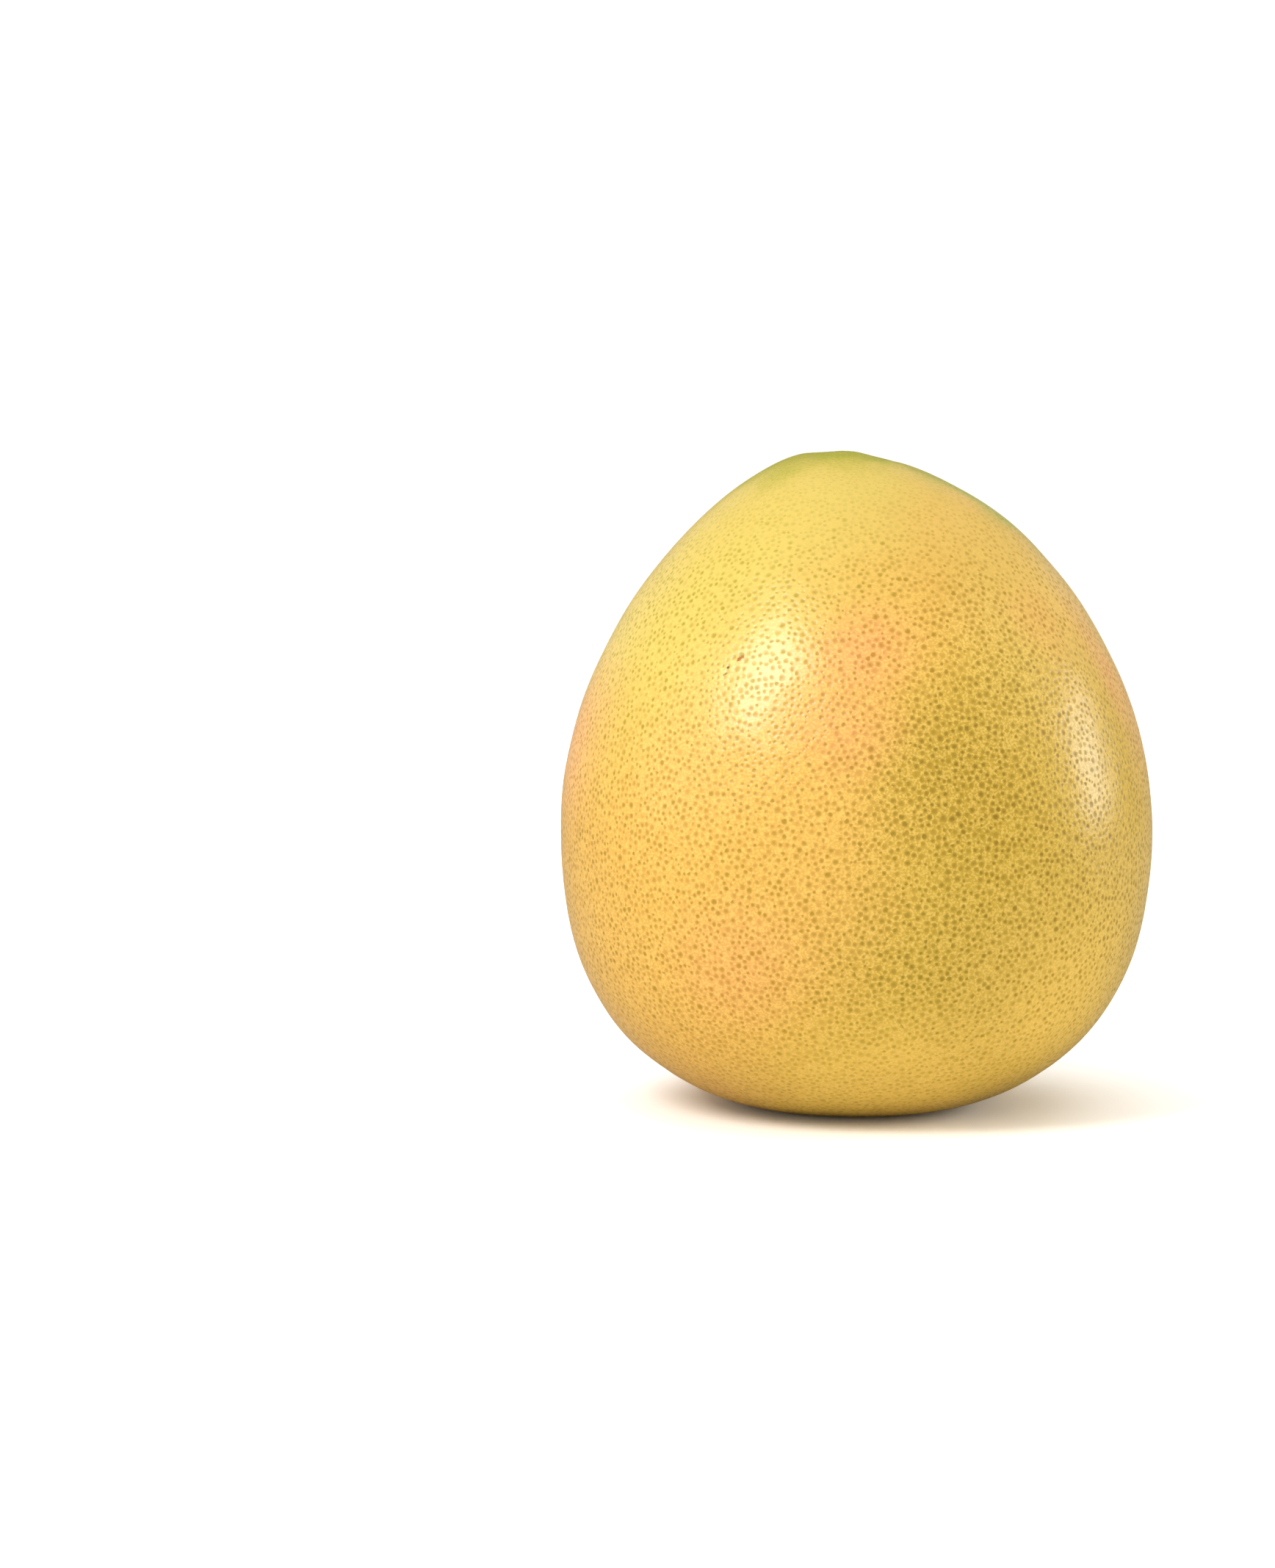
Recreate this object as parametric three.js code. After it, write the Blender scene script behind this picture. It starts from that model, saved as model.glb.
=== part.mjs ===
// A whole pomelo as it is sold: one smooth pear-shaped fruit, with the clipped stem button still on
// its crown.
//
// Millimetres, +Z up. The fruit rests on its blossom end, and the origin is the middle of the small
// flat spot that it rests on. -Y is the front. The neck leans back, towards +Y, and the crown falls
// away a little on its +X side.

import * as THREE from "three";

// The body: its widest section, and how far the rind reaches below and above it.
const BELLY_RADIUS = 77.5;
const BELLY_HEIGHT = 73;
const CROWN_RISE = 97; // from the belly to the crown, along the core
const REST_RADIUS = 15; // the flat spot under the blossom end

// How blunt the two halves are. In each, radius = BELLY_RADIUS * (1 - reach ^ curve) ^ power,
// where reach runs from 0 at the belly to 1 at the end of the half.
const BASE_CURVE = 2.3;
const BASE_POWER = 0.355;
const CROWN_CURVE = 1.9;
const CROWN_POWER = 0.572;

// Above the belly the core bends back, more and more, by this much at the crown. The crown is lopsided within
// about CROWN_TILT_REACH of its middle.
const CROWN_LEAN = 11;
const CROWN_TILT = 0.155; // fall per millimetre towards +X
const CROWN_TILT_REACH = 29;

// The section isn't quite round: it swells out this far, in so many broad lobes, turned from +X by so much.
// One lobe is a body that is fuller on one side.
const LOBES = [
  { count: 1, swell: 2.2, turn: 0 },
  { count: 2, swell: 0.5, turn: THREE.MathUtils.degToRad(35) },
  { count: 3, swell: 0.8, turn: THREE.MathUtils.degToRad(-52) },
  { count: 5, swell: 0.45, turn: THREE.MathUtils.degToRad(20) },
];

// The stem end: a level seat sunk into the crown, with shallow furrows that run out from it over the neck.
const SEAT_RADIUS = 7;
const SEAT_DEPTH = 3.2;
const SEAT_RIM_RADIUS = 14.5;
const FURROWS = 6;
const FURROW_DEPTH = 0.75;
const FURROW_MIDDLE = 18; // radius where the furrows are deepest
const FURROW_SPREAD = 9;

// The stem button: the five blunt sepals of the dried calyx, and the stub of the clipped stalk. Its
// outline runs from the underside to the clipped face. The sepals stand out past the radius by
// SEPAL_REACH times their share.
const SEPALS = 5;
const SEPAL_REACH = 0.9;
const BUTTON_GAP = 0.3; // between the button and its seat
const BUTTON_OUTLINE = [
  { radius: 4.8, height: BUTTON_GAP, sepalShare: 0.9 }, // the calyx's underside
  { radius: 5.2, height: 0.65, sepalShare: 1 },
  { radius: 4.7, height: 1.1, sepalShare: 0.9 },
  { radius: 3.6, height: 1.5, sepalShare: 0.35 },
  { radius: 2.6, height: 1.8, sepalShare: 0.1 }, // the stalk's foot
  { radius: 2.3, height: 2.3, sepalShare: 0 },
  { radius: 2.2, height: 2.75, sepalShare: 0 },
  { radius: 1.9, height: 3, sepalShare: 0 }, // the clipped face
];

// How finely the surfaces are cut.
const FRUIT_SEGMENTS = 72;
const BASE_RINGS = 16;
const SHOULDER_RINGS = 15;
const CROWN_RINGS = 13;
const CROWN_START = THREE.MathUtils.degToRad(54); // where the closer crown rings begin
const SEGMENTS_PER_SEPAL = 8;

const RIND_COLOUR = "#e6b33e";
const BUTTON_COLOUR = "#6d5a35";

// The angle, from the belly (0) to the end of a half (a right angle), at which the section has a radius.
function angleAtRadius(radius, power) {
  return Math.acos(Math.pow(radius / BELLY_RADIUS, 1 / (2 * power)));
}

const REST_ANGLE = angleAtRadius(REST_RADIUS, BASE_POWER);
const SEAT_ANGLE = angleAtRadius(SEAT_RADIUS, CROWN_POWER);
const CROWN_END = Math.PI / 2;
// The reach below the belly that the base would have if the flat spot didn't cut it short.
const BASE_REACH = BELLY_HEIGHT / Math.pow(Math.sin(REST_ANGLE), 2 / BASE_CURVE);

// How far back the core is at a height, and the angle that it leans at there.
function coreAt(height) {
  const share = Math.max(height - BELLY_HEIGHT, 0) / CROWN_RISE;
  return { y: CROWN_LEAN * share ** 3, angle: Math.atan((3 * CROWN_LEAN * share ** 2) / CROWN_RISE) };
}

function swellAt(turn) {
  const swell = LOBES.reduce((sum, lobe) => sum + lobe.swell * Math.cos(lobe.count * (turn - lobe.turn)), 0);
  return 1 + swell / BELLY_RADIUS;
}

// How far the skin of the upper half is moved along the core, at a section radius and a turn about the core.
function crownRelief(radius, turn) {
  const tilt = -CROWN_TILT * radius * Math.cos(turn) * Math.exp(-((radius / CROWN_TILT_REACH) ** 2));
  const seat = -SEAT_DEPTH * (1 - THREE.MathUtils.smoothstep(radius, SEAT_RADIUS, SEAT_RIM_RADIUS));
  const furrow =
    -FURROW_DEPTH *
    Math.exp(-(((radius - FURROW_MIDDLE) / FURROW_SPREAD) ** 2)) *
    THREE.MathUtils.smoothstep(radius, SEAT_RADIUS, FURROW_MIDDLE) *
    (0.5 + 0.5 * Math.cos(FURROWS * turn));
  return tilt + seat + furrow;
}

// A point of the skin, from the section's radius, its height on the core, the turn about the core and
// the relief.
function skinPoint(radius, height, turn, relief) {
  const core = coreAt(height);
  const across = radius * swellAt(turn) * Math.cos(turn);
  const back = radius * swellAt(turn) * Math.sin(turn);
  return new THREE.Vector3(
    across,
    core.y + back * Math.cos(core.angle) + relief * Math.sin(core.angle),
    height - back * Math.sin(core.angle) + relief * Math.cos(core.angle),
  );
}

// The upper half, by the angle from the belly to the crown. The seat is level, so inside it the rind
// keeps the height that it has at the seat's edge.
function crownPoint(angle, turn) {
  const radius = BELLY_RADIUS * Math.pow(Math.cos(angle), 2 * CROWN_POWER);
  const rise = CROWN_RISE * Math.pow(Math.sin(Math.min(angle, SEAT_ANGLE)), 2 / CROWN_CURVE);
  return skinPoint(radius, BELLY_HEIGHT + rise, turn, crownRelief(radius, turn));
}

// The lower half, by the angle from the belly to the blossom end.
function basePoint(angle, turn) {
  const radius = BELLY_RADIUS * Math.pow(Math.cos(angle), 2 * BASE_POWER);
  const drop = BASE_REACH * Math.pow(Math.sin(angle), 2 / BASE_CURVE);
  return skinPoint(radius, BELLY_HEIGHT - drop, turn, 0);
}

// A closed solid from rings of points stacked from the bottom up, with a point to close each end.
function stackRings(bottom, rings, top) {
  const around = rings[0].length;
  const points = [bottom, ...rings.flat(), top];
  const last = points.length - 1;
  const at = (ring, step) => 1 + ring * around + (step % around);
  const faces = [];
  for (let step = 0; step < around; step++) {
    faces.push(0, at(0, step + 1), at(0, step));
    faces.push(at(rings.length - 1, step), at(rings.length - 1, step + 1), last);
    for (let ring = 0; ring < rings.length - 1; ring++) {
      faces.push(at(ring, step), at(ring, step + 1), at(ring + 1, step + 1));
      faces.push(at(ring, step), at(ring + 1, step + 1), at(ring + 1, step));
    }
  }
  const geometry = new THREE.BufferGeometry().setFromPoints(points);
  geometry.setIndex(faces);
  geometry.computeVertexNormals();
  return geometry;
}

function ringOf(count, pointAt) {
  return Array.from({ length: count }, (_, step) => pointAt((2 * Math.PI * step) / count));
}

// Evenly spaced values from the first, which is kept, to the last, which is left out.
function stepsTo(first, last, count) {
  return Array.from({ length: count }, (_, step) => THREE.MathUtils.lerp(first, last, step / count));
}

function fruitGeometry() {
  const belowBelly = stepsTo(REST_ANGLE, 0, BASE_RINGS).map((angle) =>
    ringOf(FRUIT_SEGMENTS, (turn) => basePoint(angle, turn)),
  );
  const aboveBelly = [
    ...stepsTo(0, CROWN_START, SHOULDER_RINGS),
    ...stepsTo(CROWN_START, CROWN_END, CROWN_RINGS),
  ].map((angle) => ringOf(FRUIT_SEGMENTS, (turn) => crownPoint(angle, turn)));
  return stackRings(new THREE.Vector3(0, 0, 0), [...belowBelly, ...aboveBelly], crownPoint(CROWN_END, 0));
}

function fruit() {
  const material = new THREE.MeshStandardMaterial({ color: RIND_COLOUR, roughness: 0.42, metalness: 0 });
  const mesh = new THREE.Mesh(fruitGeometry(), material);
  mesh.name = "fruit";
  return mesh;
}

// The button in its own frame: +Z along the stalk, with z = 0 on the seat.
function buttonGeometry() {
  const rings = BUTTON_OUTLINE.map(({ radius, height, sepalShare }) =>
    ringOf(SEPALS * SEGMENTS_PER_SEPAL, (turn) => {
      const reach = radius + sepalShare * SEPAL_REACH * Math.cos(SEPALS * turn);
      return new THREE.Vector3(reach * Math.cos(turn), reach * Math.sin(turn), height);
    }),
  );
  const clippedFace = BUTTON_OUTLINE[BUTTON_OUTLINE.length - 1].height;
  return stackRings(new THREE.Vector3(0, 0, BUTTON_GAP), rings, new THREE.Vector3(0, 0, clippedFace));
}

// The button stands square on the level seat in the crown.
function stemButton() {
  const rightTurn = 0;
  const backTurn = Math.PI / 2;
  const seatWidth = (turn) => crownPoint(SEAT_ANGLE, turn).sub(crownPoint(SEAT_ANGLE, turn + Math.PI));
  const toRight = seatWidth(rightTurn).normalize();
  const stalk = new THREE.Vector3().crossVectors(toRight, seatWidth(backTurn)).normalize();
  const across = new THREE.Vector3().crossVectors(stalk, toRight);

  const material = new THREE.MeshStandardMaterial({ color: BUTTON_COLOUR, roughness: 0.85, metalness: 0 });
  const mesh = new THREE.Mesh(buttonGeometry(), material);
  mesh.name = "stem_button";
  mesh.position.copy(crownPoint(CROWN_END, 0));
  mesh.quaternion.setFromRotationMatrix(new THREE.Matrix4().makeBasis(toRight, across, stalk));
  return mesh;
}

const pomelo = new THREE.Group();
pomelo.name = "pomelo";
pomelo.add(fruit(), stemButton());

export default pomelo;
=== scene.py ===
# %% [markdown]
# # A whole pomelo, dressed in Blender
#
# The CAD model gives this fruit its real size and form: one pear-shaped body and the small dried
# button where the stalk was clipped. What it lacks is everything that makes citrus rind look like
# rind. This lesson adds that: thousands of oil glands, the wandering colours of ripe peel, a waxy
# gloss, and a woody stem button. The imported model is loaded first, as a frame that stays fixed.

# %% Load the fixed frame
import math

import bpy
import numpy as np
from mathutils import Euler, Matrix, Vector, noise
from mathutils.bvhtree import BVHTree
from mathutils.kdtree import KDTree


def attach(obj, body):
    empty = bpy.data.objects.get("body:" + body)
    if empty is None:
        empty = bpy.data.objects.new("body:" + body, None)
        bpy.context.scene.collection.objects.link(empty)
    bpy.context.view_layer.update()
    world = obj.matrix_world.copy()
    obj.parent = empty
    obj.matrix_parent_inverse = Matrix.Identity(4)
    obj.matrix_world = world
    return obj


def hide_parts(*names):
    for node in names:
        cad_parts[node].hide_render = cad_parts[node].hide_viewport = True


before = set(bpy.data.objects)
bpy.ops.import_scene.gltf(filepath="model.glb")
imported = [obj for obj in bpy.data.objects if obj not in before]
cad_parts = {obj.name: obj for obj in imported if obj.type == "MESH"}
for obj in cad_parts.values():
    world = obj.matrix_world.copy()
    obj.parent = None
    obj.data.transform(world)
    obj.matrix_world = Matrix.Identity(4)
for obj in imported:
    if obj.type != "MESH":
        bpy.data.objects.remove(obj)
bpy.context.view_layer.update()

MM = 0.001
print("CAD nodes:", sorted(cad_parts))

# %% [markdown]
# ## The camera
#
# A product photograph of fruit is taken from a little above it, with a long lens, so that the round
# form isn't swollen by perspective. Here the lens looks 5.5 degrees down from just over a metre away.
# The fruit stands right of the picture's middle, so the camera aims at a point to its left and needs
# no lens shift.

# %% Place the camera
AIM = Vector((-55.9, 0, 84.35)) * MM
CAMERA_DISTANCE = 1142 * MM
CAMERA_ELEVATION = math.radians(5.5)


def place_camera():
    back = Vector((0, -math.cos(CAMERA_ELEVATION), math.sin(CAMERA_ELEVATION)))
    bpy.ops.object.camera_add(location=AIM + back * CAMERA_DISTANCE)
    camera = bpy.context.object
    camera.name = "camera"
    camera.rotation_euler = Euler((math.pi / 2 - CAMERA_ELEVATION, 0, 0))
    camera.data.lens = 100
    camera.data.sensor_width = 36
    camera.data.clip_end = 50
    bpy.context.scene.camera = camera
    return camera


camera = place_camera()
print("camera at", [round(n, 3) for n in camera.location])

# %% [markdown]
# ## The studio
#
# A white studio lights fruit from all sides at once, and two lamps give it form: a big softbox, high
# on the left, whose reflection is the pale cloud on the rind, and a smaller one on the right that
# draws a faint strip of light down the far side. A wide box overhead keeps the floor white, two fills
# brighten the flanks, and none of those three shows in the gloss. Three wide panels do the reverse:
# they show only there, as a soft haze round the lamps' reflections. The sheen of two panels behind
# the fruit draws its edges. The floor and the walls are one plain pale tone.

# %% Light the studio
LIGHT_CENTRE = Vector((0, 0, 85)) * MM
FLOOR_RADIUS = 1.3


def softbox(name, towards, distance, width, height, watts, lean=0):
    """An area lamp that faces the fruit from a direction, leaning sideways by an angle in degrees."""
    place = LIGHT_CENTRE + Vector(towards).normalized() * distance
    facing = (LIGHT_CENTRE - place).to_track_quat("-Z", "Y")
    leaning = Euler((0, 0, math.radians(lean))).to_quaternion()
    bpy.ops.object.light_add(type="AREA", location=place, rotation=(facing @ leaning).to_euler())
    lamp = bpy.context.object
    lamp.name = name
    lamp.data.shape = "RECTANGLE"
    lamp.data.size = width
    lamp.data.size_y = height
    lamp.data.energy = watts
    lamp.visible_camera = False
    return lamp


def white_room(towards, dim, bright, seen):
    """The room's walls: brightest on one side, dimmest opposite, and plain white to the camera."""
    world = bpy.data.worlds.new("white_room")
    world.use_nodes = True
    nodes = world.node_tree.nodes
    links = world.node_tree.links
    place = nodes.new("ShaderNodeTexCoord")
    side = nodes.new("ShaderNodeVectorMath")
    side.operation = "DOT_PRODUCT"
    side.inputs[1].default_value = Vector(towards).normalized()
    fade = nodes.new("ShaderNodeMapRange")
    fade.inputs["From Min"].default_value = -1
    fade.inputs["From Max"].default_value = 1
    fade.inputs["To Min"].default_value = dim
    fade.inputs["To Max"].default_value = bright
    walls = nodes["Background"]
    links.new(place.outputs["Generated"], side.inputs[0])
    links.new(side.outputs["Value"], fade.inputs["Value"])
    links.new(fade.outputs[0], walls.inputs["Strength"])
    wall_look = nodes.new("ShaderNodeBackground")
    wall_look.inputs["Strength"].default_value = seen
    for background in (walls, wall_look):
        background.inputs["Color"].default_value = (1, 1, 1, 1)
    ray = nodes.new("ShaderNodeLightPath")
    choose = nodes.new("ShaderNodeMixShader")
    links.new(ray.outputs["Is Camera Ray"], choose.inputs["Fac"])
    links.new(walls.outputs[0], choose.inputs[1])
    links.new(wall_look.outputs[0], choose.inputs[2])
    links.new(choose.outputs[0], nodes["World Output"].inputs["Surface"])
    bpy.context.scene.world = world


def pale_floor(seen, bounced, mirrored):
    """A matt floor with three tones: to the camera, in the light it throws back, and in the gloss."""
    bpy.ops.mesh.primitive_circle_add(vertices=96, radius=FLOOR_RADIUS, fill_type="NGON")
    floor = bpy.context.object
    floor.name = "studio_floor"
    paint = bpy.data.materials.new("studio_white")
    paint.use_nodes = True
    nodes = paint.node_tree.nodes
    links = paint.node_tree.links
    shader = nodes["Principled BSDF"]
    ray = nodes.new("ShaderNodeLightPath")
    tone = bounced
    for kind, wanted in (("Is Camera Ray", seen), ("Is Glossy Ray", mirrored)):
        change = nodes.new("ShaderNodeMath")
        change.operation = "MULTIPLY_ADD"
        links.new(ray.outputs[kind], change.inputs[0])
        change.inputs[1].default_value = wanted - bounced
        if tone is bounced:  # a plain number still
            change.inputs[2].default_value = bounced
        else:
            links.new(tone, change.inputs[2])
        tone = change.outputs[0]
    links.new(tone, shader.inputs["Base Color"])
    shader.inputs["Roughness"].default_value = 0.9
    shader.inputs["Specular IOR Level"].default_value = 0.1
    floor.data.materials.append(paint)


white_room(towards=(-0.3, -0.8, 0.4), dim=0.05, bright=1.07, seen=1.05)
pale_floor(seen=1.14, bounced=0.97, mirrored=0.3)
softbox("key_softbox", (-0.55, -0.565, 0.615), 1.0, 0.33, 0.42, 5.8, lean=-25)
softbox("strip_softbox", (0.972, 0.154, 0.175), 0.8, 0.32, 0.3, 1.75)
overhead = softbox("overhead_softbox", (0, 0.3, 1), 1.8, 2.4, 2.4, 16.5)
left_fill = softbox("left_fill", (-1, -0.1, 0.1), 1.6, 1.2, 1.2, 1.7)
right_fill = softbox("right_fill", (1, 0.1, 0.1), 1.6, 1.2, 1.2, 7.5)
for lamp in (overhead, left_fill, right_fill):
    lamp.visible_glossy = False
key_gleam = softbox("key_gleam", (-0.56, -0.565, 0.605), 1.0, 0.5, 0.52, 1.8, lean=-25)
left_glow = softbox("left_glow", (-0.88, -0.25, 0.3), 1.4, 1.0, 1.0, 3.9)
right_glow = softbox("right_glow", (0.76, -0.25, 0.6), 1.4, 0.9, 1.0, 2.4)
for lamp in (key_gleam, left_glow, right_glow):
    lamp.visible_diffuse = False
softbox("back_left_panel", (-0.5, 0.87, 0.1), 1.5, 0.9, 1.5, 1.4)
softbox("back_right_panel", (0.46, 0.87, 0.2), 1.5, 0.9, 1.5, 1.4)
bpy.context.scene.view_settings.view_transform = "Standard"

# %% [markdown]
# ## A smooth former
#
# The CAD fruit is faceted. Its form is right, but its flats would show in the gloss. A sculptor
# would make a smooth former and stretch the skin over it, and that is what happens here: the CAD
# mesh is copied, its loose triangles are merged into quads, and a Subdivision Surface rounds it. The
# former is never shown. It only tells each point of the skin where to lie.

# %% Make the former
HEART = Vector((0, 2, 78)) * MM
FEELER_LENGTH = 50 * MM


def select_only(piece):
    bpy.ops.object.select_all(action="DESELECT")
    piece.select_set(True)
    bpy.context.view_layer.objects.active = piece


def merged_copy(node, name):
    """A copy of a CAD node with its loose triangles joined, which the CAD node itself never is."""
    piece = bpy.data.objects.new(name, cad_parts[node].data.copy())
    bpy.context.scene.collection.objects.link(piece)
    piece.data.materials.clear()
    select_only(piece)
    bpy.ops.object.mode_set(mode="EDIT")
    bpy.ops.mesh.select_all(action="SELECT")
    bpy.ops.mesh.remove_doubles(threshold=0.001 * MM)
    bpy.ops.mesh.tris_convert_to_quads()
    bpy.ops.object.mode_set(mode="OBJECT")
    return piece


def subdivision(piece, levels):
    modifier = piece.modifiers.new("smooth", "SUBSURF")
    modifier.levels = levels
    modifier.render_levels = levels
    select_only(piece)
    bpy.ops.object.modifier_apply(modifier=modifier.name)


former = merged_copy("fruit", "former")
subdivision(former, 3)
former_tree = BVHTree.FromObject(former, bpy.context.evaluated_depsgraph_get())
print("former:", len(former.data.polygons), "faces")


def on_former(places):
    """The points where lines from the heart of the fruit through these places meet the former."""
    hits = [former_tree.ray_cast(HEART, Vector(place) - HEART)[0] for place in places]
    return np.array(hits)


def felt_along(directions):
    """The points of the former in these directions from the heart of the fruit."""
    return on_former(directions * FEELER_LENGTH + np.array(HEART))


# %% [markdown]
# ## Sowing the oil glands
#
# Citrus rind is packed with oil glands. On a pomelo they stand about 2 mm apart, in no pattern, but
# never touching. A procedural cell texture would be quick, but it cuts cells out of solid space, so
# their sizes would jump about. Here each gland is sown as a real point on the skin. A golden-angle
# spiral spreads them evenly, a random nudge breaks the spiral, and two rounds of pushing close
# neighbours apart leave the even but unruly spacing that living rind has. They stand closer together
# towards the stem end.

# %% Sow the glands
GLAND_COUNT = 23600
GLAND_SPACING = 2.0 * MM
NECK_SPACING_SHARE = 0.8
NECK_START = 125 * MM
NECK_END = 165 * MM
NUDGE_SHARE = 0.55
PUSH_ROUNDS = 2
PUSH_SHARE = 0.35
CROWDING_NEIGHBOURS = 6
GOLDEN_ANGLE = math.pi * (3 - math.sqrt(5))
random = np.random.default_rng(7)


def smooth_step(value, start, end):
    share = np.clip((value - start) / (end - start), 0, 1)
    return share * share * (3 - 2 * share)


def spacing_at(height):
    return GLAND_SPACING * (1 - (1 - NECK_SPACING_SHARE) * smooth_step(height, NECK_START, NECK_END))


def sow_spiral():
    """Places spread over the skin so that each has its own fair share of it."""
    faces = former.data.polygons
    middles = np.array([face.center for face in faces])
    areas = np.array([face.area for face in faces])
    from_heart = middles - np.array(HEART)
    polar = np.arccos(from_heart[:, 2] / np.linalg.norm(from_heart, axis=1))
    order = np.argsort(polar)
    room = (areas / spacing_at(middles[:, 2]) ** 2)[order].cumsum()
    steps = np.arange(GLAND_COUNT)
    angle_down = np.interp((steps + 0.5) / GLAND_COUNT * room[-1], room, polar[order])
    turn = steps * GOLDEN_ANGLE
    ring = np.sin(angle_down)
    directions = np.stack([ring * np.cos(turn), ring * np.sin(turn), np.cos(angle_down)], 1)
    return felt_along(directions)


def neighbours_of(places, count):
    tree = KDTree(len(places))
    for index, place in enumerate(places):
        tree.insert(place, index)
    tree.balance()
    return np.array([[found[1] for found in tree.find_n(place, count + 1)][1:] for place in places])


def push_apart(places):
    """One round: each gland moves away from those of its neighbours that crowd it."""
    near = neighbours_of(places, CROWDING_NEIGHBOURS)
    apart = places[:, None] - places[near]
    gap = np.linalg.norm(apart, axis=2, keepdims=True)
    room = spacing_at(places[:, 2])[:, None, None]
    push = (apart / gap * np.clip(room - gap, 0, None)).sum(1) * PUSH_SHARE
    return on_former(places + push)


glands = sow_spiral()
nudge = random.normal(size=glands.shape) * spacing_at(glands[:, 2])[:, None]
glands = on_former(glands + nudge * NUDGE_SHARE)
for _ in range(PUSH_ROUNDS):
    glands = push_apart(glands)
gland_gap = np.linalg.norm(glands - glands[neighbours_of(glands, 1)[:, 0]], axis=1)
print("glands:", len(glands), "nearest neighbour in mm:", gland_gap.mean() / MM, gland_gap.std() / MM)

# %% [markdown]
# ## The rind
#
# The skin is stretched between the glands. Seen from the heart of the fruit the glands are points
# on a sphere, and the convex hull of points on a sphere joins each to its nearest neighbours, in a
# net of three-sided and four-sided faces. One Subdivide adds vertices halfway between the glands, so
# that no triangle has two glands as its corners, and every vertex is laid on the former. The glands
# are sunk later, by about a tenth of a millimetre at most.

# %% Stretch the rind over the glands
GLAND_DEPTH = 0.07 * MM


def hull_of(places):
    from_heart = places - np.array(HEART)
    directions = from_heart / np.linalg.norm(from_heart, axis=1, keepdims=True)
    mesh = bpy.data.meshes.new("rind")
    mesh.from_pydata(directions, [], [])
    piece = bpy.data.objects.new("rind", mesh)
    bpy.context.scene.collection.objects.link(piece)
    select_only(piece)
    bpy.ops.object.mode_set(mode="EDIT")
    bpy.ops.mesh.select_all(action="SELECT")
    bpy.ops.mesh.convex_hull()
    bpy.ops.mesh.select_all(action="SELECT")
    bpy.ops.mesh.normals_make_consistent(inside=False)
    bpy.ops.object.mode_set(mode="OBJECT")
    return piece


def read_places(mesh):
    places = np.empty(len(mesh.vertices) * 3, np.float32)
    mesh.vertices.foreach_get("co", places)
    return places.reshape(-1, 3).astype(float)


def write_places(mesh, places):
    mesh.vertices.foreach_set("co", places.astype(np.float32).ravel())
    mesh.update()


rind = hull_of(glands)
gland_count = len(rind.data.vertices)
print("hull:", gland_count, "glands,", len(rind.data.polygons), "faces")

bpy.ops.object.mode_set(mode="EDIT")
bpy.ops.mesh.select_all(action="SELECT")
bpy.ops.mesh.subdivide(number_cuts=1, smoothness=0)
bpy.ops.mesh.quads_convert_to_tris()
bpy.ops.object.mode_set(mode="OBJECT")
smooth_skin = felt_along(read_places(rind.data))
write_places(rind.data, smooth_skin)
print("rind:", len(rind.data.vertices), "vertices,", len(rind.data.polygons), "triangles")

# %% [markdown]
# ## Telling the finish where the glands are
#
# The colour of a gland has to be round, and the net around it is a rough hexagon. So each corner of
# each triangle that meets a gland stores how far it is from that gland, counted in the gland's own
# radius. Blender blends the three corners evenly across the triangle, and the length of what comes
# out is the true distance, so a dot drawn from it is a clean circle at any size. A second value says
# how dark each gland is. Glands with more room around them are bigger.

# %% Store the gland marks
GLAND_RADIUS = 0.53 * MM
GLAND_SIZES = (0.85, 1.45)  # the least and the most, as shares of that radius where room is usual
GLAND_ROOM = (0.5, 1.05)  # the least and the most room that counts, as shares of the spacing
NO_GLAND = 9.0
USUAL_DARKNESS = 0.76
DARKNESS_SPREAD = 0.3
DARKNESS_RANGE = (0.2, 1.6)
CLEAR_CROWN = 0.8  # the share of their darkness that the glands lose at the crown
CROWN_FADE = (134 * MM, 168 * MM)  # the heights where that starts and ends
CLEAR_BASE = 0.5  # the same at the blossom end
BASE_FADE = (12 * MM, 48 * MM)


def gland_sizes(places):
    gap = np.linalg.norm(places - places[neighbours_of(places, 1)[:, 0]], axis=1)
    room = np.clip(gap / spacing_at(places[:, 2]), *GLAND_ROOM)
    return GLAND_RADIUS * room * random.uniform(*GLAND_SIZES, len(places))


def gland_darkness(places):
    """How dark each gland is: each differs, and they fade towards both ends of the fruit."""
    height = places[:, 2]
    crown = CLEAR_CROWN * smooth_step(height, *CROWN_FADE)
    base = CLEAR_BASE * (1 - smooth_step(height, *BASE_FADE))
    darkness = random.normal(USUAL_DARKNESS, DARKNESS_SPREAD, len(places))
    return np.clip(darkness, *DARKNESS_RANGE) * (1 - crown - base)


def mark_glands(mesh, places, radii, depths):
    corners = np.array([list(face.vertices) for face in mesh.polygons])
    is_gland = corners < gland_count
    owner = np.where(is_gland.any(1), np.where(is_gland, corners, 0).sum(1), -1)
    owned = owner >= 0
    offset = np.full((len(corners), 3, 3), NO_GLAND)
    centres = places[owner[owned]][:, None]
    offset[owned] = (places[corners[owned]] - centres) / radii[owner[owned]][:, None, None]
    shade = np.zeros((len(corners), 3))
    shade[owned] = depths[owner[owned]][:, None]
    mesh.attributes.new("from_gland", "FLOAT_VECTOR", "CORNER").data.foreach_set("vector", offset.ravel())
    mesh.attributes.new("gland_shade", "FLOAT", "CORNER").data.foreach_set("value", shade.ravel())
    print("triangles at a gland:", int(owned.sum()), "between glands:", int((~owned).sum()))
    print("corners of one triangle that are glands, at most:", int(is_gland.sum(1).max()))


gland_places = smooth_skin[:gland_count]
gland_radii = gland_sizes(gland_places)
mark_glands(rind.data, smooth_skin, gland_radii, gland_darkness(gland_places))

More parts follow.
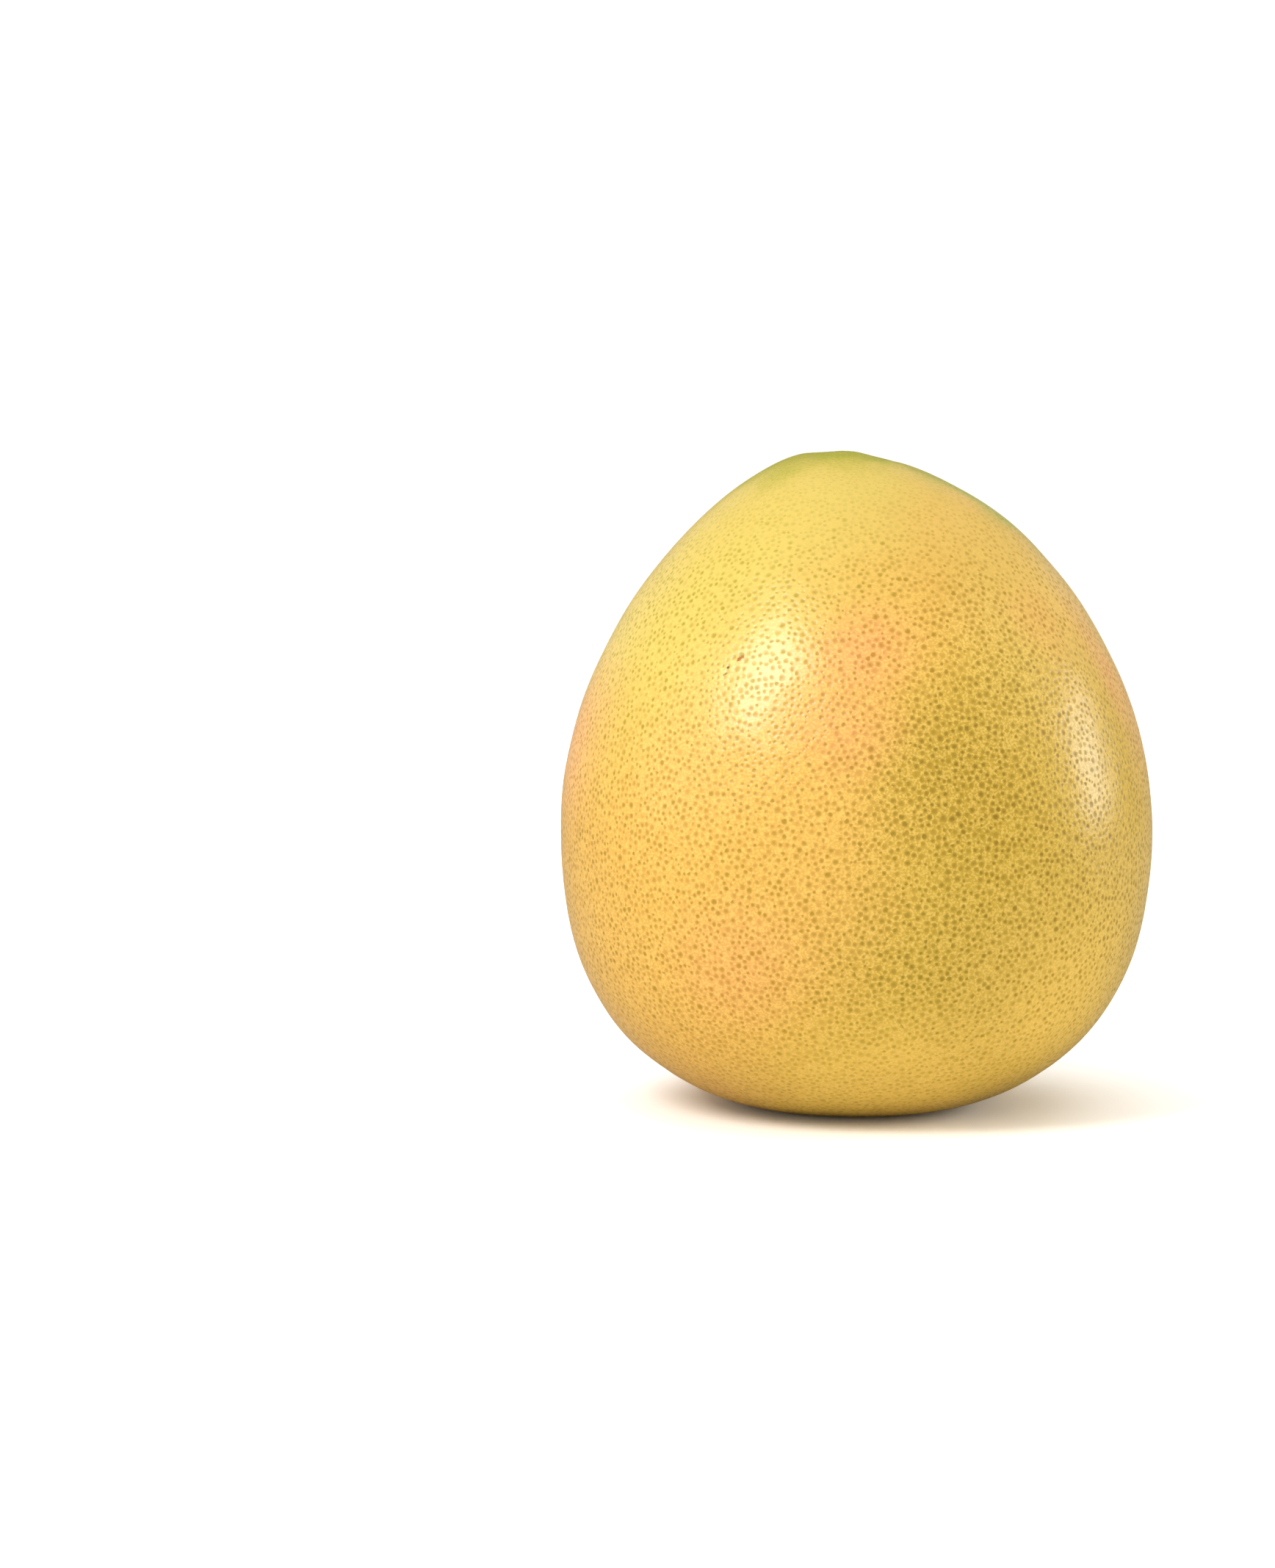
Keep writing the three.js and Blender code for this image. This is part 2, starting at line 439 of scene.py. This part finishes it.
# %% [markdown]
# ## A skin that isn't perfect
#
# A fruit swells as its flesh grows, never quite evenly, so low noise pushes the skin out and in by a
# fifth of a millimetre, and it is fuller at three places near the crown. Then the fruit settles
# under its own weight: just above the floor the rind bulges down, and nothing goes below the floor.

# %% Sink the glands, swell the skin and settle the fruit
SWELL_HEIGHT = 0.22 * MM
SWELL_WIDTH = 16 * MM
SWELL_START = (1 * MM, 12 * MM)  # the heights where the swelling begins and is whole
FULLER_PLACES = [  # where the rind is fuller than its plain solid: the place, its reach and rise in mm
    ((-5, -9, 171), 14, 0.3),
    ((9, -9, 169), 7, 0.35),
    ((38, -21, 152), 22, 0.9),
]
SAG = 0.8 * MM
SAG_HEIGHT = 12 * MM


def fullness_at(places):
    rise = np.zeros(len(places))
    for spot, reach, height in FULLER_PLACES:
        away = np.linalg.norm(places - np.array(spot) * MM, axis=1)
        rise += height * MM * (1 - smooth_step(away, 0, reach * MM))
    return rise


outward = smooth_skin - np.array(HEART)
outward /= np.linalg.norm(outward, axis=1, keepdims=True)
swell = np.array([noise.noise(Vector(place) / SWELL_WIDTH) for place in smooth_skin])
swell *= SWELL_HEIGHT * smooth_step(smooth_skin[:, 2], *SWELL_START)
swell += fullness_at(smooth_skin)
swell[:gland_count] -= GLAND_DEPTH * gland_radii / GLAND_RADIUS
skin = smooth_skin + outward * swell[:, None]
skin[:, 2] -= SAG * (1 - smooth_step(skin[:, 2], 0, SAG_HEIGHT))
skin[:, 2] = np.maximum(skin[:, 2], 0)
write_places(rind.data, skin)
select_only(rind)
bpy.ops.object.shade_smooth()
bpy.data.objects.remove(former)
print("swells from", round(swell.min() / MM, 2), "to", round(swell.max() / MM, 2), "mm")

# %% [markdown]
# ## Mixing a finish
#
# A finish is a network of small nodes, and building one by hand in code gets long. This helper keeps
# it readable: most methods add a node or two and hand back the output, so a finish reads as a recipe.

# %% A helper that mixes finishes


class Finish:
    def __init__(self, name):
        self.material = bpy.data.materials.new(name)
        self.material.use_nodes = True
        self.tree = self.material.node_tree
        self.shader = self.tree.nodes["Principled BSDF"]
        self.place = self.node("ShaderNodeTexCoord").outputs["Object"]
        self.across, self.back, self.height = self.node("ShaderNodeSeparateXYZ", {0: self.place}).outputs

    def node(self, kind, inputs=(), **settings):
        made = self.tree.nodes.new(kind)
        for key, value in settings.items():
            setattr(made, key, value)
        for key, value in dict(inputs).items():
            self.put(value, made.inputs[key])
        return made

    def put(self, value, socket):
        if isinstance(value, bpy.types.NodeSocket):
            self.tree.links.new(value, socket)
        else:
            socket.default_value = value

    def maths(self, what, first, second):
        return self.node("ShaderNodeMath", {0: first, 1: second}, operation=what).outputs[0]

    def ramp(self, value, start, end, low=0.0, high=1.0):
        """A smooth step: low before start, high after end."""
        inputs = {"Value": value, 1: start, 2: end, 3: low, 4: high}
        return self.node("ShaderNodeMapRange", inputs, interpolation_type="SMOOTHSTEP").outputs[0]

    def cloud(self, width, detail=3.0, place=None):
        """Soft noise, with features about this wide, from 0 to 1."""
        inputs = {"Vector": place or self.place, "Scale": 1 / width, "Detail": detail}
        return self.node("ShaderNodeTexNoise", inputs).outputs["Fac"]

    def attribute(self, name, output):
        return self.node("ShaderNodeAttribute", attribute_name=name).outputs[output]

    def near(self, spot, reach, place, strength):
        """The strength where the place is at the spot, fading to 0 at its reach from there."""
        inputs = {0: place, 1: spot}
        away = self.node("ShaderNodeVectorMath", inputs, operation="DISTANCE").outputs["Value"]
        return self.ramp(away, 0.0, reach, strength, 0.0)

    def vector_maths(self, what, first, second):
        return self.node("ShaderNodeVectorMath", {0: first, 1: second}, operation=what).outputs[0]

    def along(self, place, direction):
        """How far a place lies in a direction."""
        inputs = {0: place, 1: direction}
        return self.node("ShaderNodeVectorMath", inputs, operation="DOT_PRODUCT").outputs["Value"]

    def mix(self, share, first, second, how="MIX"):
        """The first colour, with a share of the second laid over it."""
        mixer = self.node("ShaderNodeMix", data_type="RGBA", blend_type=how)
        self.put(share, mixer.inputs[0])
        self.put(first, mixer.inputs[6])
        self.put(second, mixer.inputs[7])
        return mixer.outputs[2]

    def bump(self, height, distance, normal=None):
        inputs = {"Height": height, "Distance": distance, "Strength": 1.0}
        if normal:
            inputs["Normal"] = normal
        return self.node("ShaderNodeBump", inputs).outputs["Normal"]


# %% [markdown]
# ## The colour of ripe rind
#
# Ripe pomelo rind isn't one yellow. The side that grew in the sun is lemon, the rest is golden and
# turns to a more olive mustard at the lower right, where it is also painted darker as shade. The
# stem end keeps some green, and here and there is an orange-pink blush. Other patches are painted
# light and shade, not colour: a darker patch right of the middle is painted shade, lighter gold
# low down is painted light thrown up by the floor, and darker brown where the fruit rests is
# painted shade. Each of those is a broad soft patch, laid over the last. The patches would look
# airbrushed with clean edges, so they are looked up at a place that noise has moved about. The
# green strays furthest, and it is mottled too.

# %% Mix the rind
# Towards the lower right the gold turns to a more olive mustard, which is also darker as painted shade.
LOWER_RIGHT = (1, 0, -0.35)
TO_SHADED_MUSTARD = (-42 * MM, 0.0)  # how far that way gold starts to turn to mustard, and has turned
UPPER_LEFT = (-0.55, 0, 0.84)
TO_LEMON = (98 * MM, 142 * MM)
BAY_WIDTH = 28 * MM
BAY_REACH = 16 * MM
STRAY_WIDTH = 15 * MM
STRAY_REACH = 24 * MM
MOTTLE_WIDTH = 7 * MM
GOLD = (0.575, 0.312, 0.047, 1)
LEMON = (0.56, 0.415, 0.077, 1)
# Mustard: a more olive tone than the gold, and darker as painted shade on the side away from the key
# light.
SHADED_MUSTARD = (0.445, 0.283, 0.018, 1)
# Painted shade: a dark mustard laid right of the middle, where the light falls off.
MUSTARD_PAINTED_SHADE = (0.36, 0.222, 0.004, 1)
PALE_GOLD = (0.60, 0.385, 0.085, 1)
# Painted light: a lighter gold low down, which stands in for the light that the floor throws up.
FLOOR_LIGHT_GOLD = (0.63, 0.40, 0.055, 1)
# Painted shade: the rind is painted darker brown round the spot where the fruit rests on the floor.
RESTING_SHADE = (0.22, 0.12, 0.006, 1)
BLUSH = (0.66, 0.28, 0.085, 1)
STEM_GREEN = (0.325, 0.315, 0.008, 1)
PATCHES = {  # a colour, where it lies in mm, how far it reaches in mm and how strong it is
    "pale gold at upper right": (PALE_GOLD, (51, -30, 137), 44, 1.0),
    "pale gold on the right shoulder": (PALE_GOLD, (28, -28, 152), 28, 0.6),
    # Painted shade right of the middle, as a darker mustard.
    "painted shade right of the middle": (MUSTARD_PAINTED_SHADE, (22, -73, 94), 34, 0.85),
    "blush in the middle": (BLUSH, (1, -63, 124), 18, 0.8),
    "blush below the middle": (BLUSH, (-4, -71, 105), 20, 0.6),
    "blush at the left edge": (BLUSH, (-74, -12, 98), 34, 0.8),
    "blush low on the left": (BLUSH, (-32, -66, 45), 26, 0.5),
    "blush high on the right edge": (BLUSH, (65, -26, 129), 20, 0.4),
    "blush at the right edge": (BLUSH, (72, -26, 115), 20, 0.7),
    "blush lower on the right edge": (BLUSH, (76, -16, 101), 24, 0.35),
    "blush at upper right": (BLUSH, (45, -43, 130), 16, 0.3),
    "blush on the back": (BLUSH, (20, 70, 95), 36, 0.5),
    # Painted light thrown up by the floor: lighter gold low in front and low on the right.
    "painted floor light low in front": (FLOOR_LIGHT_GOLD, (4, -50, 10), 46, 1.6),
    "painted floor light low on the right": (FLOOR_LIGHT_GOLD, (47, -50, 32), 44, 0.9),
    # Painted shade under the fruit, darker brown where it rests on the floor.
    "painted shade where it rests": (RESTING_SHADE, (0, 0, 0), 26, 0.8),
    "green round the stem": (STEM_GREEN, (-4, 12, 170), 42, 1.4),
    "green left of the stem": (STEM_GREEN, (-20, -2, 167), 24, 0.8),
    "green before the stem": (STEM_GREEN, (-2, -8, 171), 18, 1.6),
    "green over the right shoulder": (STEM_GREEN, (27, -7, 161), 23, 1.35),
    "green down the right shoulder": (STEM_GREEN, (38, -2, 154), 30, 1.2),
    "green behind the stem": (STEM_GREEN, (12, 34, 160), 30, 0.8),
    "green on the back": (STEM_GREEN, (-20, 50, 140), 34, 0.6),
}


def spot_in_metres(spot):
    return [n * MM for n in spot]


def wandering_place(mix, width, reach):
    """The place on the fruit, moved about by noise, so that what is looked up there has soft bays."""
    wander = mix.node("ShaderNodeTexNoise", {"Vector": mix.place, "Scale": 1 / width}).outputs["Color"]
    centred = mix.vector_maths("SUBTRACT", wander, (0.5, 0.5, 0.5))
    step = mix.node("ShaderNodeVectorMath", {0: centred, "Scale": reach}, operation="SCALE").outputs[0]
    return mix.vector_maths("ADD", mix.place, step)


def rind_colour(mix):
    moved = wandering_place(mix, BAY_WIDTH, BAY_REACH)
    to_lower_right = mix.along(moved, LOWER_RIGHT)
    # Gold turns to mustard at the lower right: a real olive tone, darker as painted shade.
    colour = mix.mix(mix.ramp(to_lower_right, *TO_SHADED_MUSTARD), GOLD, SHADED_MUSTARD)
    to_upper_left = mix.along(moved, UPPER_LEFT)
    colour = mix.mix(mix.ramp(to_upper_left, *TO_LEMON), colour, LEMON)
    stray = wandering_place(mix, STRAY_WIDTH, STRAY_REACH)
    mottle = mix.ramp(mix.cloud(MOTTLE_WIDTH, 4.0), 0.3, 0.6, 0.6, 1)
    for patch_colour, spot, reach, strength in PATCHES.values():
        is_green = patch_colour == STEM_GREEN
        share = mix.near(spot_in_metres(spot), reach * MM, stray if is_green else moved, strength)
        if is_green:
            share = mix.maths("MULTIPLY", mix.maths("MINIMUM", share, 1.0), mottle)
        colour = mix.mix(share, colour, patch_colour)
    return colour


# %% [markdown]
# ## Marks of growing outdoors
#
# No rind is spotless. This one has a small brown scar, where a twig once rubbed it, with two black
# specks beside it, another scar on the back, and a few tiny dashes elsewhere. Underneath, where the
# flower was, there is a round corky scar. Each mark is one spot or a few that overlap, looked up at a
# finely shaken place, which gives it a ragged edge.

# %% Mix the marks
SCAR_BROWN = (0.34, 0.115, 0.009, 1)
SPECK_BLACK = (0.07, 0.04, 0.008, 1)
DASH_OLIVE = (0.34, 0.20, 0.01, 1)
CORK = (0.30, 0.17, 0.055, 1)
CORK_DARK = (0.10, 0.05, 0.015, 1)
CORK_PLACE = (0, 0, 0)
CORK_REACH = 5 * MM
CORK_STRENGTH = 1.8  # past 1, so that the middle is solid and only the rim fades
CORK_SHAKE = (3 * MM, 2 * MM)  # the width of the noise that shakes its place, and how far that goes
CORK_SPECKLE = 0.8 * MM
MARK_STRENGTH = 1.6
MARK_SHAKE = (0.9 * MM, 1.3 * MM)
MARKS = [  # a colour, where the mark is in mm, and how far it reaches in mm
    (SCAR_BROWN, (-30.7, -57.3, 121.1), 0.95),
    (SCAR_BROWN, (-29.8, -57.4, 121.6), 0.8),
    (SCAR_BROWN, (-31.3, -57.0, 122.1), 0.65),
    (SPECK_BLACK, (-33.5, -57.0, 119.0), 0.75),
    (SPECK_BLACK, (-34.2, -57.4, 117.5), 0.8),
    (DASH_OLIVE, (9.5, -76.1, 79.4), 0.7),
    (DASH_OLIVE, (10.1, -76.1, 79.9), 0.6),
    (DASH_OLIVE, (-62.0, -41.1, 90.9), 0.9),
    (SCAR_BROWN, (40.0, 62.0, 88.0), 1.6),
    (SCAR_BROWN, (41.2, 61.0, 89.2), 1.2),
]


def marked(mix, colour):
    """The colour with the marks laid over it, and how much of a mark is there, which makes it dull."""
    shaken = wandering_place(mix, *MARK_SHAKE)
    dull = mix.near(CORK_PLACE, CORK_REACH, wandering_place(mix, *CORK_SHAKE), CORK_STRENGTH)
    speckle = mix.ramp(mix.cloud(CORK_SPECKLE), 0.35, 0.65)
    colour = mix.mix(dull, colour, mix.mix(speckle, CORK, CORK_DARK))
    for mark_colour, spot, reach in MARKS:
        share = mix.near(spot_in_metres(spot), reach * MM, shaken, MARK_STRENGTH)
        colour = mix.mix(share, colour, mark_colour)
        dull = mix.maths("MAXIMUM", dull, share)
    return colour, dull


# %% [markdown]
# ## Glands, pebbling and gloss
#
# The oil shows through each gland as a darker, more olive dot, and the skin over it is sunk. Between
# the glands the rind stands up, paler and shinier, in a fine net. Both come from the stored distance
# to the gland, so colour and relief always agree. Over all of it lies a grain far too fine to model,
# which breaks up the gloss the way a waxy skin does.

# %% Mix the glands and put the finish on
BROWN_TINT = (0.62, 0.65, 0.12, 1)
OLIVE_TINT = (0.62, 0.56, 0.01, 1)
NET_PALE = (0.86, 0.57, 0.13, 1)
CLOUDY_TINT = (0.86, 0.84, 0.6, 1)
CLOUDY_WIDTH = 6 * MM
CLOUDY_SHARE = 0.12
NET_SHARE = 0.45
FLECK_WIDTH = 0.6 * MM
TO_OLIVE = (-10 * MM, 50 * MM)  # where the glands turn from brown to olive, from left to right
NET_FADE = (120 * MM, 160 * MM)  # the heights where the net grows fainter
RIM_SHAKE_WIDTH = 0.8 * MM
WAX_ROUGHNESS = (0.4, 0.28)  # in a gland, and on the net round it
MARK_ROUGHNESS = 0.45  # so much more where a mark is
WAX_IOR = 1.46
PIT_RELIEF = 0.075 * MM
GRAIN_WIDTH = 0.45 * MM
GRAIN_RELIEF = 0.012 * MM
WAVE_WIDTH = 8 * MM
WAVE_RELIEF = 0.2 * MM


def rind_finish():
    mix = Finish("rind_peel")
    shake = {"Vector": mix.place, "Scale": 1 / RIM_SHAKE_WIDTH}
    ragged = mix.node("ShaderNodeTexNoise", shake).outputs["Color"]
    ragged = mix.vector_maths("SUBTRACT", ragged, (0.5, 0.5, 0.5))
    from_gland = mix.vector_maths("ADD", mix.attribute("from_gland", "Vector"), ragged)
    away = mix.node("ShaderNodeVectorMath", {0: from_gland}, operation="LENGTH").outputs["Value"]
    shade = mix.attribute("gland_shade", "Fac")
    grain = mix.cloud(GRAIN_WIDTH, 2.0)

    colour = rind_colour(mix)
    cloudy = mix.ramp(mix.cloud(CLOUDY_WIDTH), 0.35, 0.7, 0, CLOUDY_SHARE)
    colour = mix.mix(cloudy, colour, CLOUDY_TINT, "MULTIPLY")
    net = mix.ramp(away, 0.8, 1.8, 0, NET_SHARE)
    fleck = mix.ramp(mix.cloud(FLECK_WIDTH, 2.0), 0.38, 0.65, 0.1, 1)
    low = mix.ramp(mix.height, *NET_FADE, 1, 0.25)
    pale = mix.maths("MULTIPLY", mix.maths("MULTIPLY", net, fleck), low)
    colour = mix.mix(pale, colour, NET_PALE)
    dot = mix.maths("MULTIPLY", mix.ramp(away, 0.1, 1.6, 1, 0), shade)
    tint = mix.mix(mix.ramp(mix.across, *TO_OLIVE), BROWN_TINT, OLIVE_TINT)
    colour = mix.mix(dot, colour, tint, "MULTIPLY")
    colour, dull = marked(mix, colour)
    mix.put(colour, mix.shader.inputs["Base Color"])

    relief = mix.bump(mix.cloud(WAVE_WIDTH, 2.0), WAVE_RELIEF)
    relief = mix.bump(grain, GRAIN_RELIEF, relief)
    relief = mix.bump(mix.ramp(away, 0.0, 1.7), PIT_RELIEF, relief)
    mix.put(relief, mix.shader.inputs["Normal"])
    waxy = mix.ramp(away, 0.2, 1.4, *WAX_ROUGHNESS)
    rough = mix.maths("ADD", waxy, mix.ramp(dull, 0.0, 0.8, 0, MARK_ROUGHNESS))
    mix.put(rough, mix.shader.inputs["Roughness"])
    mix.shader.inputs["IOR"].default_value = WAX_IOR
    return mix.material


rind.data.materials.append(rind_finish())
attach(rind, "root")
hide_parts("fruit")
print("rind finish:", len(rind.active_material.node_tree.nodes), "nodes")

# %% [markdown]
# ## Where the stem button stands
#
# When a pomelo is clipped from the tree, the dried calyx stays on the fruit: five blunt woody
# sepals, with the stub of the stalk in their middle. The CAD button already stands square on its
# seat in the crown, so it says where the detailed one goes. Its underside and its clipped face are
# both fans of triangles, and the hubs of the two fans are the vertices where most edges meet.

# %% Find the foot of the button and the way its stalk points


def hubs_of(node):
    guide = merged_copy(node, "guide")
    edge_ends = np.array([list(edge.vertices) for edge in guide.data.edges])
    busiest = np.bincount(edge_ends.ravel()).argsort()[-2:]
    hubs = sorted((guide.data.vertices[i].co.copy() for i in busiest), key=lambda hub: hub.z)
    bpy.data.objects.remove(guide)
    return hubs


button_foot, clipped_middle = hubs_of("stem_button")
stalk = (clipped_middle - button_foot).normalized()
print("foot in mm:", [round(n / MM, 1) for n in button_foot], "stalk:", [round(n, 2) for n in stalk])

# %% [markdown]
# ## Turning the button
#
# The button is made upright at the world's middle, like work on a lathe: one ring of vertices is
# extruded and resized again and again, from the sepals' edge, over the calyx and up the stalk to the
# cut wood. Then the rings of the calyx are drawn out into five lobes. Its underside reaches through
# the small gap that the CAD pieces keep, and into the rind.

# %% Turn the calyx and the stalk
RING_SEGMENTS = 80
SEPALS = 5
SEPAL_REACH = 0.9 * MM
SEPAL_BLUNTNESS = 0.7
STALK_FOOT_RADIUS = 2.7 * MM
SEPAL_RADIUS = 4.8 * MM
BUTTON_OUTLINE = [  # radius and height in mm, from the underside to the middle of the clipped face
    (4.7, -0.6),
    (5.1, -0.2),
    (5.2, 0.2),
    (4.9, 0.5),
    (4.3, 0.68),
    (3.6, 0.8),
    (3.1, 0.86),
    (2.75, 1.05),
    (2.5, 1.5),
    (2.35, 2.1),
    (2.3, 2.5),
    (2.18, 2.68),
    (1.98, 2.72),
    (1.82, 2.62),
    (1.3, 2.6),
    (0.7, 2.57),
    (0.4, 2.48),
    (0.15, 2.45),
]


def turn_button(outline):
    radius, height = outline[0]
    bpy.ops.object.select_all(action="DESELECT")
    bpy.ops.mesh.primitive_circle_add(
        vertices=RING_SEGMENTS, radius=radius * MM, fill_type="NGON", location=(0, 0, height * MM)
    )
    piece = bpy.context.object
    piece.name = "clipped_stem_button"
    bpy.ops.object.transform_apply(location=True, rotation=True, scale=True)
    bpy.ops.object.mode_set(mode="EDIT")
    bpy.ops.mesh.select_all(action="SELECT")
    for next_radius, next_height in outline[1:]:
        rise = (0, 0, (next_height - height) * MM)
        bpy.ops.mesh.extrude_region_move(TRANSFORM_OT_translate={"value": rise})
        growth = next_radius / radius
        bpy.ops.transform.resize(value=(growth, growth, 1), center_override=(0, 0, next_height * MM))
        radius, height = next_radius, next_height
    bpy.ops.mesh.select_all(action="SELECT")
    bpy.ops.mesh.normals_make_consistent(inside=False)
    bpy.ops.object.mode_set(mode="OBJECT")
    return piece


def draw_out_sepals(piece):
    places = read_places(piece.data)
    radius = np.hypot(places[:, 0], places[:, 1])
    turn = np.arctan2(places[:, 1], places[:, 0])
    share = smooth_step(radius, STALK_FOOT_RADIUS, SEPAL_RADIUS)
    lobe = 2 * np.abs(np.cos(SEPALS / 2 * turn)) ** SEPAL_BLUNTNESS - 1.1
    growth = 1 + share * lobe * SEPAL_REACH / np.maximum(radius, 0.1 * MM)
    places[:, :2] *= growth[:, None]
    write_places(piece.data, places)


stem_button = turn_button(BUTTON_OUTLINE)
draw_out_sepals(stem_button)
print("button ring mesh:", len(stem_button.data.vertices), "vertices")

# %% [markdown]
# ## Drying the button
#
# Dried plant tissue shrinks unevenly: the sepals curl and crack, and the bark of the stalk puckers
# into grooves that run along it. The mesh is subdivided, and noise moves its vertices. Before the
# button is set in its seat, each vertex stores where it was, upright, so that the finish can tell
# the calyx, the bark and the cut wood apart.

# %% Subdivide, wrinkle and seat the button
WRINKLE_DEPTH = 0.16 * MM
CRUMPLE_DEPTH = 0.3 * MM
BARK_DEPTH = 0.14 * MM
CUT_DEPTH = 0.08 * MM
LEAFY_FROM = (2.6, 4.0)  # how far out, in mm, the bark gives way to the sepals
CUT_FROM = (2.45, 2.6)  # how high up, in mm, the bark gives way to the clipped face
BARK_FINENESS = 5
CRACK_FINENESS = 7
CRUMPLE_FINENESS = 0.55
WRINKLE_FINENESS = 2.4
DEEPEST_CRUMPLE = -0.1 * MM


def on_post(turn, fineness, along):
    """A place on an upright post, where noise gives grooves that run along it."""
    return Vector((math.cos(turn) * fineness, math.sin(turn) * fineness, along))


def wrinkle(piece):
    places = read_places(piece.data)
    for index, vertex in enumerate(piece.data.vertices):
        place = vertex.co / MM
        out = Vector((place.x, place.y, 0))
        turn = math.atan2(place.y, place.x)
        leafy = float(smooth_step(out.length, *LEAFY_FROM))
        cut = float(smooth_step(place.z, *CUT_FROM))
        groove = noise.noise(on_post(turn, BARK_FINENESS, place.z * 0.25))
        bark = groove * BARK_DEPTH * (1 - leafy) * (1 - cut)
        crumple = noise.noise(place * CRUMPLE_FINENESS) * CRUMPLE_DEPTH * leafy
        crack = noise.noise(on_post(turn, CRACK_FINENESS, out.length * 0.3))
        fine = noise.noise(place * WRINKLE_FINENESS) * (WRINKLE_DEPTH * 0.5 + CUT_DEPTH * cut)
        push = bark + crack * WRINKLE_DEPTH * leafy + fine
        places[index] += np.array(vertex.normal) * push + np.array((0, 0, max(crumple, DEEPEST_CRUMPLE)))
    write_places(piece.data, places)


subdivision(stem_button, 2)
upright = read_places(stem_button.data)
wrinkle(stem_button)
stem_button.data.attributes.new("upright", "FLOAT_VECTOR", "POINT").data.foreach_set(
    "vector", (upright / MM).ravel()
)
along_stalk = stalk.to_track_quat("Z", "X").to_matrix().to_4x4()
stem_button.matrix_world = Matrix.Translation(button_foot) @ along_stalk
select_only(stem_button)
bpy.ops.object.transform_apply(location=True, rotation=True, scale=True)
bpy.ops.object.shade_smooth()
print("button:", len(stem_button.data.polygons), "faces")

# %% [markdown]
# ## Bark, calyx and cut wood
#
# The calyx is dry and grey-brown, a little green still where it is thick. The stalk's bark is darker,
# and the clippers left pale wood on top, with a dark line where bark meets wood and soft pith in the
# middle. All of it is matt. The stored upright place gives the height and the distance from the
# middle.

# %% Mix the button's finish
CALYX_BROWN = (0.23, 0.16, 0.075, 1)
CALYX_DARK = (0.085, 0.05, 0.02, 1)
CALYX_GREEN = (0.17, 0.17, 0.05, 1)
BARK_BROWN = (0.13, 0.09, 0.04, 1)
CUT_WOOD = (0.52, 0.38, 0.19, 1)
PITH = (0.36, 0.23, 0.10, 1)
# Upright places were stored in mm, so the next seven values are in mm as well.
GREEN_FADE = (2.6, 4.4)  # how far out the green fades away
BARK_START = (0.9, 1.6)  # the heights where the calyx gives way to bark
CUT_HEIGHT = (2.4, 2.5)
CUT_RIM = (1.8, 2.0)
PITH_RIM = (0.3, 0.7)
BLOTCH_WIDTH = 1.4
FIBRE_WIDTH = 0.25
FIBRE_RELIEF = 0.06 * MM
BLOTCH_RELIEF = 0.12 * MM


def button_finish():
    mix = Finish("dry_calyx_and_wood")
    upright_place = mix.attribute("upright", "Vector")
    split = mix.node("ShaderNodeSeparateXYZ", {0: upright_place}).outputs
    flat = mix.node("ShaderNodeCombineXYZ", {"X": split["X"], "Y": split["Y"]}).outputs[0]
    out = mix.node("ShaderNodeVectorMath", {0: flat}, operation="LENGTH").outputs["Value"]
    blotch = mix.cloud(BLOTCH_WIDTH, 4.0, upright_place)
    fibre = mix.cloud(FIBRE_WIDTH, 3.0, upright_place)

    colour = mix.mix(mix.ramp(blotch, 0.35, 0.7), CALYX_BROWN, CALYX_DARK)
    colour = mix.mix(mix.ramp(out, *GREEN_FADE, 0.6, 0), colour, CALYX_GREEN)
    colour = mix.mix(mix.ramp(split["Z"], *BARK_START), colour, BARK_BROWN)
    wood = mix.mix(mix.ramp(out, *PITH_RIM, 1, 0), CUT_WOOD, PITH)
    wood = mix.mix(mix.ramp(fibre, 0.4, 0.75, 0, 0.5), wood, PITH)
    cut = mix.maths("MULTIPLY", mix.ramp(split["Z"], *CUT_HEIGHT), mix.ramp(out, *CUT_RIM, 1, 0))
    colour = mix.mix(cut, colour, wood)
    mix.put(colour, mix.shader.inputs["Base Color"])

    relief = mix.bump(fibre, FIBRE_RELIEF)
    mix.put(mix.bump(blotch, BLOTCH_RELIEF, relief), mix.shader.inputs["Normal"])
    mix.put(mix.ramp(blotch, 0.3, 0.7, 0.7, 0.92), mix.shader.inputs["Roughness"])
    mix.shader.inputs["Specular IOR Level"].default_value = 0.3
    return mix.material


stem_button.data.materials.append(button_finish())
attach(stem_button, "root")
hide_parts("stem_button")
